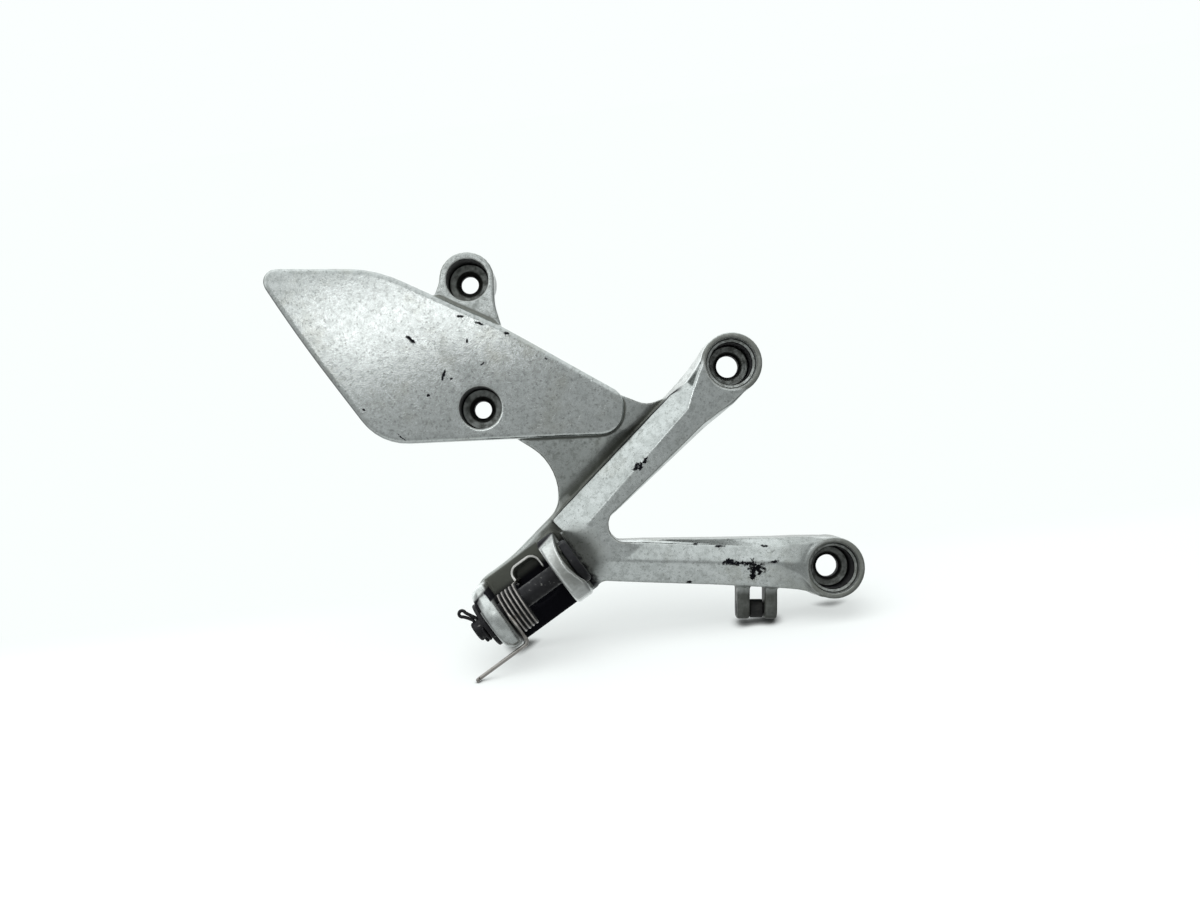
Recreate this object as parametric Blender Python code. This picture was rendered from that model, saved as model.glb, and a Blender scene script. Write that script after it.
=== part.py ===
# Motorcycle footrest hanger with its footrest pivot, return spring and small fork.
# Seen from outside, X runs to the right, Z up, and Y from the outside towards the frame.
# The origin is the upper frame bolt's axis, on the face that seats on the frame.
# Sizes are in millimetres, and MM turns them into Blender's metres.

import math

import bmesh
import bpy
from mathutils import Matrix, Vector

MM = 0.001
GAP = 0.3
STEPS = 6
ROUND = 40

# Frame bosses
LOWER_BOLT = (39.6, -79.0)
BOSS_DIAMETER = 23.8
BOSS_LENGTH = 26.0
BOSS_DRAFT = 0.4
BOLT_HOLE = 8.8
BOLT_CHAMFER = 1.4
SOCKET_DIAMETER = 16.4
SOCKET_DEPTH = 18.7
MOUTH_DIAMETER = 19.5
MOUTH_DEPTH = 4.3
SEAT_PROUD = 1.0

# Arms
FACET_DROP = 5.0
ARM_WALL = 3.6
ARM_FRONT_WALL = 6.0
RIB_WIDTH = 4.0
V_ROOT_RADIUS = 7.2
NODE_FROM_HIGH = 27.5
NODE_TO_FACET = 14.5

# Footrest pivot
PIVOT = (-77.3, -33.0, -88.2)
PIVOT_TILT = 36.2
PIN_DIAMETER = 8.0
PIN_HEAD_DIAMETER = 18.6
PIN_HEAD_THICKNESS = 3.2
PIN_END = 4.6
LUG_GAP = 25.2
UPPER_LUG = 7.4
LOWER_LUG = 6.4
LUG_RADIUS = 14.0
LUG_EDGE = 0.8
LUG_SHOULDER = 2.4
WALL_FRONT = -15.0
WALL_BACK = -3.0
WALL_RISE = 1.2
WALL_LIP = 1.1
WALL_STEP = 0.2
BAY_OUT = 14.6
BAY_ACROSS = 5.7
HEAD_POCKET_DEPTH = 2.4
HEAD_SEAT_DEPTH = 1.1
HEAD_SEAT_DIAMETER = 12.4
HEAD_POCKET_SWEEP = 25.0
HEAD_POCKET_FLOOR = -22.3
ANCHOR_FROM_LUG = 10.1
ANCHOR_WIDTH = 11.3
ANCHOR_HEIGHT = 16.4
ANCHOR_DEPTH = 5.0
ANCHOR_ABOVE = 10.4

# Washer, split pin and return spring
WASHER_DIAMETER = 18.5
WASHER_THICKNESS = 1.7
SPLIT_WIRE = 1.3
SPLIT_HOLE = 3.1
SPLIT_EYE = 1.2
SPRING_WIRE = 1.6
SPRING_DIAMETER = 18.2
SPRING_PITCH = 1.75
SPRING_TURNS = 4
SPRING_LEG = 23.6
SPRING_HOOK = 2.4

# Heel plate, tab and web
PLATE_FRONT = -24.0
PLATE_THICKNESS = 4.5
PLATE_EDGE = 1.4
PLATE_RIM = 3.0
PLATE_RIM_DEPTH = 5.0
RIB_SETBACK = 0.4
TAB_SETBACK = 3.0
TAB_THICKNESS = 4.5
TAB_BOLT = (-102.3, 32.6)
TAB_CENTRE = (-102.5, 33.1)
PLATE_BOLT = (-96.9, -17.2)
TAB_RADIUS = 10.3
SMALL_HOLE = 7.0
SMALL_SEAT = 10.8
SMALL_SOCKET = 16.3
SMALL_SOCKET_DEPTH = 15.0
SMALL_BOSS_WALL = 2.0
WEB_THICKNESS = 4.5
WEB_HIGH = -21.4
WEB_LOW = -14.2
WEB_FREE_EDGE = 22.0

# Fork under the lower arm
FORK_FROM_BOLT = 29.05
FORK_GAP = 5.8
PRONG = 4.9
FORK_DEPTH = 13.0
FORK_CENTRE = -13.5
FORK_PIN_DROP = 16.4
FORK_TIP_RADIUS = 3.9
FORK_PIN_DIAMETER = 3.4
FORK_HEAD_DIAMETER = 5.2
FORK_HEAD_THICKNESS = 0.6
FORK_HEAD_RECESS = 0.8
BUSH_DIAMETER = 7.3

BOSS_RADIUS = BOSS_DIAMETER / 2
PIN_RADIUS = PIN_DIAMETER / 2
HALF_GAP = LUG_GAP / 2
UPPER_OUT = HALF_GAP + UPPER_LUG
LOWER_OUT = HALF_GAP + LOWER_LUG


def clear_scene():
    for item in list(bpy.data.objects):
        bpy.data.objects.remove(item)


def material(name, colour, roughness, metallic):
    made = bpy.data.materials.new(name)
    made.use_nodes = True
    shader = made.node_tree.nodes["Principled BSDF"]
    shader.inputs["Base Color"].default_value = (*colour, 1.0)
    shader.inputs["Roughness"].default_value = roughness
    shader.inputs["Metallic"].default_value = metallic
    made.diffuse_color = (*colour, 1.0)
    return made


def mesh_object(name, rings, closed=False):
    """Skin over a row of equal rings: capped at both ends, or closed round into a ring of rings."""
    mesh = bmesh.new()
    rows = [[mesh.verts.new(Vector(point) * MM) for point in ring] for ring in rings]
    pairs = list(zip(rows, rows[1:]))
    if closed:
        pairs.append((rows[-1], rows[0]))
    for near, far in pairs:
        for i in range(len(near)):
            j = (i + 1) % len(near)
            mesh.faces.new((near[i], near[j], far[j], far[i]))
    if not closed:
        mesh.faces.new(rows[0])
        mesh.faces.new(rows[-1])
    return object_from(name, mesh)


def sheet_object(name, front, thickness):
    """Closed sheet of one thickness behind a grid of front points."""
    mesh = bmesh.new()
    layers = []
    for depth in (0.0, thickness):
        step = Vector((0, depth, 0))
        layers.append([[mesh.verts.new((Vector(point) + step) * MM) for point in row] for row in front])
    strips = [pair for layer in layers for pair in zip(layer, layer[1:])]
    near, far = layers
    strips.append((near[0], far[0]))
    strips.append((near[-1], far[-1]))
    strips.append(([row[0] for row in near], [row[0] for row in far]))
    strips.append(([row[-1] for row in near], [row[-1] for row in far]))
    for first, second in strips:
        for i in range(len(first) - 1):
            mesh.faces.new((first[i], first[i + 1], second[i + 1], second[i]))
    return object_from(name, mesh)


def object_from(name, mesh):
    """Object with its faces turned outward, linked into the scene."""
    bmesh.ops.recalc_face_normals(mesh, faces=mesh.faces)
    data = bpy.data.meshes.new(name)
    mesh.to_mesh(data)
    mesh.free()
    made = bpy.data.objects.new(name, data)
    bpy.context.scene.collection.objects.link(made)
    return made


def smooth(item, angle=32.0):
    item.data.shade_smooth()
    item.data.set_sharp_from_angle(angle=math.radians(angle))


def fillet(before, here, after, radius):
    """Arc points that round the corner at here, in two or three dimensions."""
    back = (before - here).normalized()
    ahead = (after - here).normalized()
    half = back.angle(ahead) / 2
    middle = (back + ahead).normalized()
    centre = here + middle * (radius / math.sin(half))
    first = here + back * (radius / math.tan(half)) - centre
    side = (ahead - back).normalized()
    swing = math.pi / 2 - half
    points = []
    for i in range(STEPS + 1):
        angle = swing * (2 * i / STEPS - 1)
        points.append(centre - middle * (first.length * math.cos(angle)) + side * (first.length * math.sin(angle)))
    return points


def rounded(corners, closed=True):
    """Outline through corners (x, z, radius), with each corner filleted."""
    points = []
    count = len(corners)
    for i, corner in enumerate(corners):
        here = Vector(corner[:2])
        at_end = not closed and i in (0, count - 1)
        if corner[2] <= 0 or at_end:
            points.append(here)
            continue
        before = Vector(corners[i - 1][:2])
        after = Vector(corners[(i + 1) % count][:2])
        points += fillet(before, here, after, corner[2])
    return points


def inset(corners, distance):
    """Anticlockwise corners moved inwards, with fillets kept parallel."""
    moved = []
    count = len(corners)
    for i, corner in enumerate(corners):
        here = Vector(corner[:2])
        into = (here - Vector(corners[i - 1][:2])).normalized()
        out = (Vector(corners[(i + 1) % count][:2]) - here).normalized()
        normal_in = Vector((-into.y, into.x))
        normal_out = Vector((-out.y, out.x))
        mitre = (normal_in + normal_out) / (1 + normal_in.dot(normal_out))
        radius = corner[2]
        if radius > 0:
            turn = into.x * out.y - into.y * out.x
            radius = max(radius - math.copysign(distance, turn), 0.2)
        place = here + mitre * distance
        moved.append((place.x, place.y, radius))
    return moved


def slab(name, corners, levels):
    """Rounded outline carried through levels (y, inset)."""
    rings = []
    for depth, distance in levels:
        rings.append([(p.x, depth, p.y) for p in rounded(inset(corners, distance))])
    return mesh_object(name, rings)


def along(axis, origin):
    """Matrix whose local Z runs along an axis, with local Y towards the frame where it can."""
    forward = Vector(axis).normalized()
    side = Vector((0, 1, 0)) if abs(forward.y) < 0.5 else Vector((1, 0, 0))
    across = side.cross(forward).normalized()
    side = forward.cross(across)
    turn = Matrix((across, side, forward)).transposed().to_4x4()
    return Matrix.Translation(Vector(origin)) @ turn


def turned(name, profile, frame, segments=ROUND, hollow=False):
    """Profile (radius, distance) turned about the frame's local Z."""
    rings = []
    for radius, distance in profile:
        ring = []
        for i in range(segments):
            angle = 2 * math.pi * i / segments
            ring.append(frame @ Vector((radius * math.cos(angle), radius * math.sin(angle), distance)))
        rings.append(ring)
    return mesh_object(name, rings, closed=hollow)


def wire(name, points, diameter):
    """Round wire along a path, as a curve with filled ends."""
    data = bpy.data.curves.new(name, "CURVE")
    data.dimensions = "3D"
    data.bevel_depth = diameter / 2 * MM
    data.bevel_resolution = 2
    data.use_fill_caps = True
    spline = data.splines.new("POLY")
    spline.points.add(len(points) - 1)
    for knot, point in zip(spline.points, points):
        knot.co = (*(Vector(point) * MM), 1.0)
    spline.use_smooth = True
    made = bpy.data.objects.new(name, data)
    bpy.context.scene.collection.objects.link(made)
    return made


def bent(corners):
    """Open three-dimensional path through corners (point, radius)."""
    points = [Vector(corners[0][0])]
    for i in range(1, len(corners) - 1):
        before = Vector(corners[i - 1][0])
        here = Vector(corners[i][0])
        after = Vector(corners[i + 1][0])
        points += fillet(before, here, after, corners[i][1])
    points.append(Vector(corners[-1][0]))
    return points


def combine(target, tool, operation):
    step = target.modifiers.new(tool.name, "BOOLEAN")
    step.operation = operation
    step.object = tool
    tool.hide_render = True
    tool.display_type = "WIRE"


# Local frames: the pivot's, with local X across the pin, Y towards the frame and Z along the pin,
# and one for each arm, with distances counted from its bolt

TILT = math.radians(PIVOT_TILT)
PIVOT_FRAME = along((math.cos(TILT), 0.0, math.sin(TILT)), PIVOT)


def at_pivot(out, across):
    """Front-view place of a point out along the pin and across it."""
    place = PIVOT_FRAME @ Vector((across, 0.0, out))
    return Vector((place.x, place.z))


class Arm:
    """Front-view frame of an arm that runs from its root to its bolt."""

    def __init__(self, root, bolt):
        self.bolt = Vector(bolt)
        self.ahead = (self.bolt - root).normalized()
        self.up = Vector((-self.ahead.y, self.ahead.x))
        self.length = (self.bolt - root).length

    def at(self, distance, across):
        return self.bolt - self.ahead * distance + self.up * across

    def section(self, distance, places):
        """Places (across, y) become points across the arm."""
        ring = []
        for across, depth in places:
            point = self.at(distance, across)
            ring.append((point.x, depth, point.y))
        return ring


UPPER_ARM = Arm(at_pivot(UPPER_OUT + 8.9, -LUG_RADIUS + 6.2), (0.0, 0.0))
LOWER_ARM = Arm(at_pivot(UPPER_OUT + 6.6, 3.7), LOWER_BOLT)


def upper_arm():
    """Wide facet on the left, flat front on the right, both run out into the boss."""
    front = -BOSS_LENGTH
    drop = front + FACET_DROP
    back = -SEAT_PROUD
    edge = BOSS_RADIUS
    stations = [
        (UPPER_ARM.length + 4.5, 11.2, 10.7, drop, -0.1, -2.6, -3.0, front + 0.6, -3.6),
        (UPPER_ARM.length - 17.0, 11.0, 10.3, drop, 0.2, -5.0, -5.5, front + 2.0, -5.9),
        (24.5, 10.6, 9.3, drop, 0.9, -7.6, -9.1, drop, -9.3),
        (17.0, 10.6, 7.9, front + 3.6, 4.6, -9.0, -10.3, front + 4.0, -10.5),
        (11.0, 10.9, 8.6, front + 1.6, 7.2, -10.0, -11.1, front + 2.0, -11.3),
        (1.0, edge, edge - 0.8, front + 0.2, edge - 1.2, 1.2 - edge, 0.6 - edge, front + 0.3, -edge),
    ]
    rings = []
    for place, back_left, left, left_y, ridge, flat, right, right_y, back_right in stations:
        rings.append(UPPER_ARM.section(place, [
            (back_left, back), (left, left_y), (ridge, front), (flat, front), (right, right_y), (back_right, back)]))
    return mesh_object("upper_arm_body", rings)


def lower_arm():
    """Roof section: a narrow top strip, an upper facet, the ridge and a lower facet."""
    front = -BOSS_LENGTH
    drop = front + FACET_DROP
    back = -SEAT_PROUD
    edge = BOSS_RADIUS
    stations = [
        (LOWER_ARM.length + 4.5, 6.8, 6.3, front + 0.1, 0.0, -0.8, -8.6, drop),
        (LOWER_ARM.length - 12.0, 7.5, 6.9, front + 0.4, 0.1, -0.7, -8.6, drop),
        (LOWER_ARM.length - 20.0, 8.1, 7.0, front + 1.3, 0.3, -0.5, -8.6, drop),
        (45.0, 9.5, 7.0, front + 1.6, 0.8, 0.0, -8.4, drop),
        (22.0, 10.8, 7.1, front + 1.9, 1.7, 0.7, -8.7, drop),
        (13.5, 11.5, 8.8, front + 0.8, 1.4, -2.6, -9.0, drop - 1.0),
        (9.0, 11.7, 9.8, front + 0.4, 0.9, -6.8, -9.6, drop - 2.2),
        (4.8, edge, edge - 0.9, front + 0.1, 0.4, 1.0 - edge, 0.6 - edge, front + 0.5),
        (0.5, edge, edge - 0.6, front + 0.1, 0.2, 0.7 - edge, 0.3 - edge, front + 0.2),
    ]
    rings = []
    for place, top, flat, flat_y, ridge, crease, bottom, bottom_y in stations:
        rings.append(LOWER_ARM.section(place, [
            (top + 0.1, back), (top, drop), (flat, flat_y), (ridge, front), (crease, front),
            (bottom, bottom_y), (bottom - 0.4, back)]))
    return mesh_object("lower_arm_body", rings)


def node():
    """Flat front between the two ridges, with the rounded root of the V."""
    high = UPPER_ARM.length - NODE_FROM_HIGH
    low = LOWER_ARM.length - NODE_TO_FACET
    root = UPPER_ARM.at(UPPER_ARM.length - 0.4, -3.3)
    corners = [
        (*UPPER_ARM.at(high, -0.4), 0.0),
        (*UPPER_ARM.at(UPPER_ARM.length, -0.4), 0.0),
        (*at_pivot(UPPER_OUT + 2.0, -LUG_RADIUS + 2.0), 0.0),
        (*at_pivot(UPPER_OUT + 1.0, LUG_RADIUS - 6.0), 0.0),
        (*LOWER_ARM.at(LOWER_ARM.length, 0.2), 0.0),
        (*LOWER_ARM.at(LOWER_ARM.length - 3.0, 0.2), 0.0),
        (*LOWER_ARM.at(LOWER_ARM.length - 9.0, 5.8), 0.0),
        (*LOWER_ARM.at(low, 6.4), 0.0),
        (root.x, root.y, V_ROOT_RADIUS),
        (*UPPER_ARM.at(high, -5.7), 0.0),
    ]
    return slab("node_body", corners, [(-SEAT_PROUD, 0.0), (-BOSS_LENGTH, 0.0)])


def gusset():
    """Curved foot of the node under the upper lug."""
    start = LOWER_ARM.at(LOWER_ARM.length - 11.0, -8.2)
    corners = [
        (*start, 0.0),
        (*LOWER_ARM.at(LOWER_ARM.length - 11.0, -4.0), 0.0),
        (*at_pivot(UPPER_OUT - 3.0, 0.0), 0.0),
        (*at_pivot(UPPER_OUT - 3.0, LUG_RADIUS - 0.2), 0.0),
        (*at_pivot(UPPER_OUT + 0.6, LUG_RADIUS - 0.2), 1.5),
        (*LOWER_ARM.at(LOWER_ARM.length - 4.0, -8.7), 5.0),
    ]
    return slab("gusset_body", corners[::-1], [(-SEAT_PROUD, 0.0), (-BOSS_LENGTH + FACET_DROP, 0.0)])


def boss(name, place):
    """Frame boss with a little draft and a broken front edge."""
    profile = [
        (BOSS_RADIUS - 0.5, 0.0),
        (BOSS_RADIUS, 0.5),
        (BOSS_RADIUS + BOSS_DRAFT, BOSS_LENGTH),
    ]
    frame = along((0, 1, 0), (place[0], -BOSS_LENGTH, place[1]))
    return turned(name, profile, frame)


def bolt_cut(name, place, mouth, seat, hole, front):
    """Stepped counterbore: mouth and seat are lists of (diameter, depth)."""
    profile = [(mouth[0][0] / 2, -2.0)]
    for diameter, depth in mouth:
        if profile[-1][0] != diameter / 2:
            profile.append((diameter / 2, profile[-1][1]))
        profile.append((diameter / 2, depth))
    profile.append((seat / 2, profile[-1][1]))
    profile.append((hole / 2, profile[-1][1] + (seat - hole) / 2))
    profile.append((hole / 2, -front + 2.0))
    return turned(name, profile, along((0, 1, 0), (place[0], front, place[1])), segments=32)


def lug(name, inner, outer, edge_in, edge_out):
    """D-shaped lug: straight sides from the wall, a round front about the pin."""
    deep = -PIVOT[1] + WALL_FRONT + 3.0
    levels = [(inner, edge_in), (inner + math.copysign(edge_in, outer - inner), 0.0)]
    levels.append((outer - math.copysign(edge_out * 1.2, outer - inner), 0.0))
    levels.append((outer - math.copysign(edge_out * 0.35, outer - inner), edge_out * 0.45))
    levels.append((outer, edge_out))
    arc = 20
    rings = []
    for out, shrink in levels:
        radius = LUG_RADIUS - shrink
        ring = [PIVOT_FRAME @ Vector((radius, deep, out))]
        for i in range(arc + 1):
            angle = -math.pi * i / arc
            ring.append(PIVOT_FRAME @ Vector((radius * math.cos(angle), radius * math.sin(angle), out)))
        ring.append(PIVOT_FRAME @ Vector((-radius, deep, out)))
        rings.append(ring)
    return mesh_object(name, rings)


def bay_corner():
    """Where the wall's top edge and the web's free edge would meet without a fillet."""
    return at_pivot(HALF_GAP + BAY_OUT, -LUG_RADIUS - BAY_ACROSS)


def clevis_wall():
    """Wall behind the lugs, whose top edge sweeps up into the web."""
    bay = bay_corner()
    end = -LOWER_OUT + WALL_STEP
    corners = [
        (*at_pivot(end, LUG_RADIUS + WALL_STEP), 3.5),
        (*at_pivot(UPPER_OUT + 2.0, LUG_RADIUS + WALL_STEP), 0.0),
        (*at_pivot(UPPER_OUT + 9.0, 0.0), 0.0),
        (bay.x + 4.0, bay.y + 9.0, 0.0),
        (bay.x, bay.y + 9.0, 0.0),
        (*bay, 11.0),
        (*at_pivot(0.7, -LUG_RADIUS - WALL_RISE), 60.0),
        (*at_pivot(end, -LUG_RADIUS - WALL_RISE), 7.5),
    ]
    levels = [(WALL_BACK, 0.0), (WALL_FRONT + WALL_LIP, 0.0), (WALL_FRONT, WALL_LIP * 0.9)]
    return slab("clevis_wall_body", corners, levels)


def resample(points, count):
    """Points spaced evenly along a polyline."""
    lengths = [0.0]
    for near, far in zip(points, points[1:]):
        lengths.append(lengths[-1] + (far - near).length)
    even = []
    span = 0
    for i in range(count + 1):
        target = lengths[-1] * i / count
        while span < len(points) - 2 and lengths[span + 1] < target:
            span += 1
        share = (target - lengths[span]) / (lengths[span + 1] - lengths[span])
        even.append(points[span].lerp(points[span + 1], min(max(share, 0.0), 1.0)))
    return even


def web():
    """Curved sheet from under the plate's end down to the arm, bounded by two free edges."""
    across = 14
    along_count = 14
    corners = heel_plate_corners()
    plate_low = Vector(corners[0][:2])
    plate_right = Vector(corners[1][:2])
    plate_high = Vector(corners[2][:2])
    bay = bay_corner()
    arm_low = UPPER_ARM.at(UPPER_ARM.length - 0.4, 11.5)
    arm_high = UPPER_ARM.at(23.3, 8.6)
    start = plate_low + Vector((45.9, 6.6))
    turn = Vector((bay.x, plate_low.y - 7.1))
    left = rounded([(*start, 0.0), (*turn, WEB_FREE_EDGE), (*arm_low, 0.0)], closed=False)
    top = plate_high + Vector((-5.5, 1.5))
    sag = plate_high + Vector((8.6, -3.8))
    right = rounded([(*top, 0.0), (*sag, 9.0), (*arm_high, 0.0)], closed=False)
    end = plate_right + Vector((-5.0, 4.0))
    plate_side = rounded([(*start, 0.0), (*end, 7.0), (*top, 0.0)], closed=False)
    left = resample(left, across)
    right = resample(right, across)
    plate_side = resample(plate_side, along_count)
    arm_side = resample([arm_low, arm_high], along_count)
    front = []
    for i in range(along_count + 1):
        u = i / along_count
        row = []
        for j in range(across + 1):
            v = j / across
            place = plate_side[i] * (1 - v) + arm_side[i] * v + left[j] * (1 - u) + right[j] * u
            place -= plate_side[0] * ((1 - u) * (1 - v)) + plate_side[-1] * (u * (1 - v))
            place -= arm_side[0] * ((1 - u) * v) + arm_side[-1] * (u * v)
            depth = WEB_HIGH + (WEB_LOW - WEB_HIGH) * v ** 1.5
            row.append((place.x, depth, place.y))
        front.append(row)
    return sheet_object("web_body", front, WEB_THICKNESS)


def heel_plate_corners():
    return [
        (-135.9, -31.6, 22.0),
        (-42.0, -27.3, 9.0),
        (-41.1, -12.0, 8.0),
        (-88.9, 14.6, 150.0),
        (-138.0, 36.7, 50.0),
        (-185.6, 36.6, 5.0),
        (-168.0, 10.1, 600.0),
    ]


def heel_plate():
    back = PLATE_FRONT + PLATE_THICKNESS
    levels = [
        (back, 0.0),
        (PLATE_FRONT + PLATE_EDGE, 0.0),
        (PLATE_FRONT + PLATE_EDGE * 0.3, PLATE_EDGE * 0.3),
        (PLATE_FRONT, PLATE_EDGE),
    ]
    return slab("heel_plate_body", heel_plate_corners(), levels)


def plate_rim():
    """Stiffening rim behind the plate's edge, as one ring."""
    corners = heel_plate_corners()
    near = PLATE_FRONT + PLATE_THICKNESS - 1.0
    far = PLATE_FRONT + PLATE_THICKNESS + PLATE_RIM_DEPTH
    outer = rounded(inset(corners, 0.3))
    outer_far = rounded(inset(corners, 0.6))
    inner = rounded(inset(corners, PLATE_RIM))
    inner_near = rounded(inset(corners, PLATE_RIM + 0.4))
    rings = []
    for a, b, c, d in zip(outer, outer_far, inner, inner_near):
        rings.append([(a.x, near, a.y), (b.x, far, b.y), (c.x, far, c.y), (d.x, near, d.y)])
    return mesh_object("plate_rim_body", rings, closed=True)


def rib(name, start, end, width, near, far):
    """Straight rib between two front-view places."""
    start = Vector(start)
    end = Vector(end)
    side = (end - start).normalized()
    side = Vector((-side.y, side.x)) * width / 2
    corners = [(*(start - side), 0.0), (*(end - side), 0.0), (*(end + side), 0.0), (*(start + side), 0.0)]
    return slab(name, corners, [(near, 0.0), (far, 0.3)])


def tab():
    """Bolt tab that stands up behind the plate's top edge."""
    front = PLATE_FRONT + TAB_SETBACK
    x, z = TAB_CENTRE
    half = TAB_RADIUS
    corners = [
        (x - half - 5.0, z - 14.0, 0.0),
        (x + half + 5.0, z - 24.0, 0.0),
        (x + half + 0.6, z - 10.0, 20.0),
        (x + half, z + half, half - 0.1),
        (x - half, z + half, half - 0.1),
        (x - half - 0.4, z - 1.5, 12.0),
    ]
    return slab("tab_body", corners, [(front + TAB_THICKNESS, 0.0), (front + 0.4, 0.0), (front, 0.4)])


def small_boss(name, place, front):
    radius = SMALL_SOCKET / 2 + SMALL_BOSS_WALL
    profile = [(radius - 0.4, 0.0), (radius, 0.4), (radius + BOSS_DRAFT, -front)]
    return turned(name, profile, along((0, 1, 0), (place[0], front, place[1])))


def prong(name, start, end):
    """Flat ear with rounded tip corners, hanging from the lower arm."""
    z_pin = LOWER_BOLT[1] - FORK_PIN_DROP
    low = z_pin - FORK_TIP_RADIUS
    high = LOWER_BOLT[1] - 5.6
    half = FORK_DEPTH / 2
    corners = [
        (FORK_CENTRE - half, low, FORK_TIP_RADIUS),
        (FORK_CENTRE + half, low, FORK_TIP_RADIUS),
        (FORK_CENTRE + half, high, 0.0),
        (FORK_CENTRE - half, high, 0.0),
    ]
    levels = [(start, 0.5), (start + 0.5, 0.0), (end - 0.5, 0.0), (end, 0.5)]
    rings = []
    for x, shrink in levels:
        rings.append([(x, p.x, p.y) for p in rounded(inset(corners, shrink))])
    return mesh_object(name, rings)


def head_pocket():
    """Scoop in the node beyond the pin's head, with a curved side against the upper lug."""
    centre = Vector((UPPER_OUT - HEAD_POCKET_DEPTH + HEAD_POCKET_SWEEP, -2.5))
    lead = 25.5
    side = []
    for i in range(7):
        angle = math.radians(180 + lead - i * 2 * lead / 6)
        spot = centre + Vector((math.cos(angle), math.sin(angle))) * HEAD_POCKET_SWEEP
        side.append((*at_pivot(*spot), 0.0))
    floor = HEAD_POCKET_FLOOR
    levels = [(-60.0, 9.6), (floor - 3.9, 9.6), (floor - 2.1, 7.2), (floor - 0.8, 5.2), (floor, 3.4)]
    rings = []
    for depth, reach in levels:
        far = [
            (*at_pivot(UPPER_OUT + reach - 2.2, 8.6), reach * 0.3),
            (*at_pivot(UPPER_OUT + reach, -1.0), 8.0),
            (*at_pivot(UPPER_OUT + reach - 2.0, -11.6), reach * 0.3),
        ]
        rings.append([(p.x, depth, p.y) for p in rounded(side + far)])
    return mesh_object("head_pocket", rings)


def anchor_pocket():
    """Blind pocket in the clevis wall that holds the spring's short leg."""
    left = -HALF_GAP + ANCHOR_FROM_LUG
    right = left + ANCHOR_WIDTH
    high = -ANCHOR_ABOVE
    low = high + ANCHOR_HEIGHT
    corners = [
        (*at_pivot(left, low), 3.0),
        (*at_pivot(right, low), 3.0),
        (*at_pivot(right, high), 3.0),
        (*at_pivot(left, high), 3.0),
    ]
    floor = WALL_FRONT + ANCHOR_DEPTH
    levels = [(floor, 0.4), (WALL_FRONT + 0.9, 0.0), (WALL_FRONT - 0.1, -0.9), (WALL_FRONT - 4.0, -0.9)]
    return slab("anchor_pocket", corners, levels)


def arm_pockets():
    """Hollow backs of both arms, split by ribs."""
    floor = -BOSS_LENGTH + ARM_FRONT_WALL + 2.0
    pockets = []
    spans = [(UPPER_ARM, 17.0, UPPER_ARM.length - 16.0, 3, -6.6, 9.0, -3.0, 9.2),
             (LOWER_ARM, 16.5, LOWER_ARM.length - 6.0, 4, -8.3, 10.4, -8.2, 7.7)]
    for arm, near, far, count, low_near, high_near, low_far, high_far in spans:
        length = (far - near - RIB_WIDTH * (count - 1)) / count
        for i in range(count):
            first = near + i * (length + RIB_WIDTH)
            last = first + length
            corners = []
            for place, top in ((first, False), (first, True), (last, True), (last, False)):
                share = (place - near) / (far - near)
                low = low_near + (low_far - low_near) * share + ARM_WALL
                high = high_near + (high_far - high_near) * share - ARM_WALL
                corners.append((*arm.at(place, high if top else low), 2.4))
            levels = [(floor, 0.9), (floor + 0.8, 0.3), (2.0, -0.4)]
            pockets.append(slab(f"arm_pocket_{len(pockets)}", corners, levels))
    return pockets


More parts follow.
